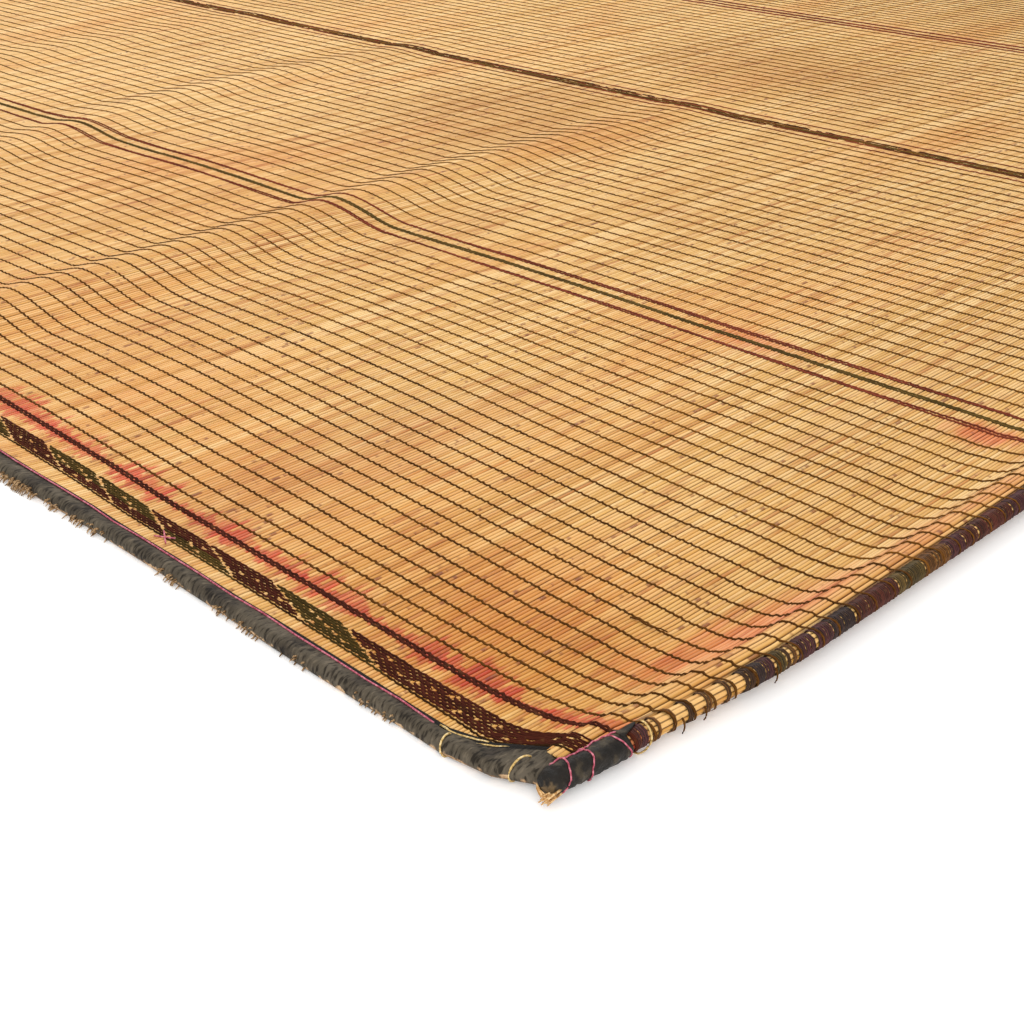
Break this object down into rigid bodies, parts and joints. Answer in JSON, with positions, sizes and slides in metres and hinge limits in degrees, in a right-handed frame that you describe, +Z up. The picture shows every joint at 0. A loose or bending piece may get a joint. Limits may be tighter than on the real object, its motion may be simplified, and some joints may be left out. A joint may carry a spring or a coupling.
{
  "type": "woven reed and leather mat",
  "caption": "Flat floor mat of thin reeds held by leather thongs, with leather rolls on its ends and wrapped reed bundles along its sides.",
  "frame": {"origin": "middle of the underside, on the surface that the mat lies on", "axes": "+X along the long side, the way the thongs run; +Y along the reeds; +Z up"},
  "size_m": [3.2004, 2.275, 0.0199],
  "materials": {
    "reed": "dried golden reed stems with a soft natural shine, brown nodes and dye stains",
    "roll_leather": "grey goat leather, worn brown and fibrous along its outer side",
    "thong_leather": "narrow leather thongs, dyed burgundy, dark brown and olive, slightly shiny",
    "cap_leather": "black leather, polished by wear",
    "sewing_thread": "pink cotton sewing thread",
    "raffia": "split raffia stitches",
    "frayed_straw": "broken reed ends"
  },
  "bodies": {
    "root": {"reed_sheet": "reed", "leather_roll_near": "roll_leather", "leather_roll_far": "roll_leather", "edge_bundle_right": "thong_leather", "edge_bundle_left": "thong_leather", "corner_cap_near_right": "cap_leather", "corner_cap_near_left": "cap_leather", "corner_cap_far_right": "cap_leather", "corner_cap_far_left": "cap_leather", "straw_tuft": "frayed_straw"}
  },
  "joints": []
}
